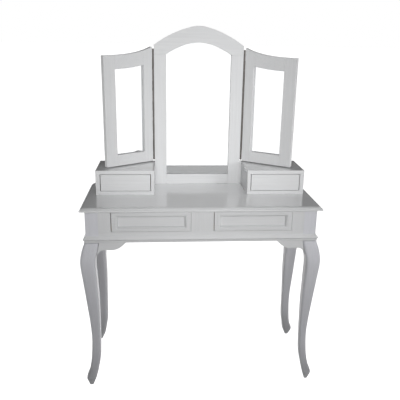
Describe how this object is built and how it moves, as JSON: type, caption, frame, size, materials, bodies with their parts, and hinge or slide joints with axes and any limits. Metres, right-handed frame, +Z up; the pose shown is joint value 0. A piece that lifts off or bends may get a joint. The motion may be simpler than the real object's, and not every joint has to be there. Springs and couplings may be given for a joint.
{
  "type": "miniature dressing table",
  "caption": "White dolls' house dressing table on cabriole legs, with panelled frieze drawers, drawer cases on the moulded top and a folding arched mirror with hinged wings.",
  "frame": {"origin": "on the floor, under the middle of the table top", "axes": "+X to the right and +Y to the back as seen from the front, +Z up"},
  "size_m": [0.0772, 0.0315, 0.1167],
  "materials": {
    "white_paint": "white satin paint on wood, glossier on the table top and the case tops",
    "bare_wood": "unpainted fine-grained wood",
    "mirror_glass": "silvered glass",
    "dark_board": "thin brown board",
    "hinge_metal": "darkened steel"
  },
  "bodies": {
    "table": {"table_top": "white_paint", "front_bottom_rail": "white_paint", "front_centre_stile": "white_paint", "front_end_stiles": "white_paint", "left_side_apron": "white_paint", "right_side_apron": "white_paint", "back_apron": "white_paint", "waist_moulding": "white_paint", "front_left_leg": "white_paint", "front_right_leg": "white_paint", "rear_left_leg": "white_paint", "rear_right_leg": "white_paint", "knee_brackets": "white_paint", "drawer_runners": "bare_wood", "centre_divider": "bare_wood", "glue_blocks": "bare_wood", "left_case_top": "white_paint", "left_case_bottom": "white_paint", "left_case_sides": "white_paint", "left_case_back": "white_paint", "right_case_top": "white_paint", "right_case_bottom": "white_paint", "right_case_sides": "white_paint", "right_case_back": "white_paint", "mirror_left_stile": "white_paint", "mirror_right_stile": "white_paint", "mirror_bottom_rail": "white_paint", "mirror_arch_rail": "white_paint", "mirror_glass": "mirror_glass", "mirror_back_board": "dark_board", "left_hinge_frame_leaf": "hinge_metal", "left_hinge_pin": "hinge_metal", "right_hinge_frame_leaf": "hinge_metal", "right_hinge_pin": "hinge_metal"},
    "left_wing": {"left_wing_outer_stile": "white_paint", "left_wing_inner_stile": "white_paint", "left_wing_top_rail": "white_paint", "left_wing_bottom_rail": "white_paint", "left_wing_glass": "mirror_glass", "left_wing_back_board": "dark_board", "left_hinge_wing_leaf": "hinge_metal"},
    "right_wing": {"right_wing_outer_stile": "white_paint", "right_wing_inner_stile": "white_paint", "right_wing_top_rail": "white_paint", "right_wing_bottom_rail": "white_paint", "right_wing_glass": "mirror_glass", "right_wing_back_board": "dark_board", "right_hinge_wing_leaf": "hinge_metal"},
    "left_frieze_drawer": {"left_drawer_front": "white_paint", "left_drawer_walls": "bare_wood", "left_drawer_bottom": "bare_wood"},
    "right_frieze_drawer": {"right_drawer_front": "white_paint", "right_drawer_walls": "bare_wood", "right_drawer_bottom": "bare_wood"},
    "left_case_drawer": {"left_case_drawer_front": "white_paint", "left_case_drawer_walls": "bare_wood", "left_case_drawer_bottom": "bare_wood"},
    "right_case_drawer": {"right_case_drawer_front": "white_paint", "right_case_drawer_walls": "bare_wood", "right_case_drawer_bottom": "bare_wood"}
  },
  "joints": [
    {"name": "left_wing_hinge", "type": "hinge", "parent": "table", "child": "left_wing", "pos_m": [-0.0154, 0.0132, 0.09], "axis": [0, 0, 1], "range_deg": [-35, 55]},
    {"name": "right_wing_hinge", "type": "hinge", "parent": "table", "child": "right_wing", "pos_m": [0.0154, 0.0132, 0.09], "axis": [0, 0, -1], "range_deg": [-35, 55]},
    {"name": "left_frieze_drawer_slide", "type": "slide", "parent": "table", "child": "left_frieze_drawer", "axis": [0, -1, 0], "range_m": [0, 0.015]},
    {"name": "left_case_drawer_slide", "type": "slide", "parent": "table", "child": "left_case_drawer", "axis": [0, -1, 0], "range_m": [0, 0.009]},
    {"name": "right_frieze_drawer_slide", "type": "slide", "parent": "table", "child": "right_frieze_drawer", "axis": [0, -1, 0], "range_m": [0, 0.015]},
    {"name": "right_case_drawer_slide", "type": "slide", "parent": "table", "child": "right_case_drawer", "axis": [0, -1, 0], "range_m": [0, 0.009]}
  ]
}
